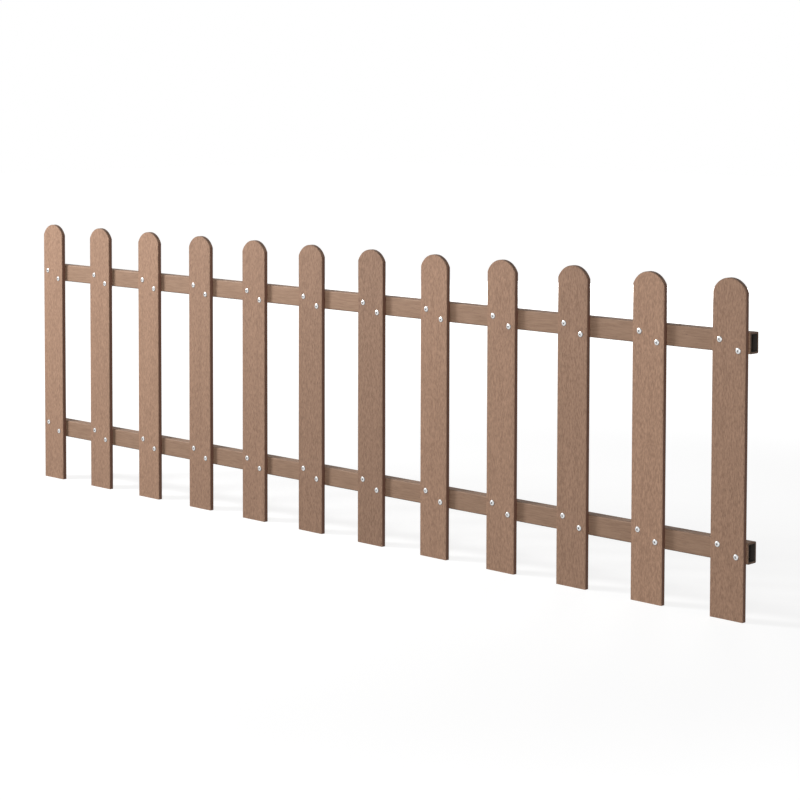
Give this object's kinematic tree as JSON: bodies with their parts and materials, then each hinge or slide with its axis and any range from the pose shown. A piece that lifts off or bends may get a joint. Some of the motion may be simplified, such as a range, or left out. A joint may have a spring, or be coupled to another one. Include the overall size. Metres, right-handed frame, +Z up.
{
  "type": "picket fence panel",
  "caption": "Low garden fence panel: flat composite pickets with rounded heads, screwed to hollow horizontal rails.",
  "frame": {"origin": "on the back face of the lower rail, at the middle of its length and height", "axes": "+X along the rails, +Y out of the rails' backs towards the posts, +Z up"},
  "size_m": [2, 0.035, 0.6],
  "materials": {
    "picket_composite": "matte, embossed upright grain",
    "rail_composite": "matte, embossed lengthwise grain",
    "screw_steel": "bright zinc"
  },
  "bodies": {
    "root": {"lower_rail": "rail_composite", "upper_rail": "rail_composite", "picket_01": "picket_composite", "picket_02": "picket_composite", "picket_03": "picket_composite", "picket_04": "picket_composite", "picket_05": "picket_composite", "picket_06": "picket_composite", "picket_07": "picket_composite", "picket_08": "picket_composite", "picket_09": "picket_composite", "picket_10": "picket_composite", "picket_11": "picket_composite", "picket_12": "picket_composite"}
  },
  "joints": []
}
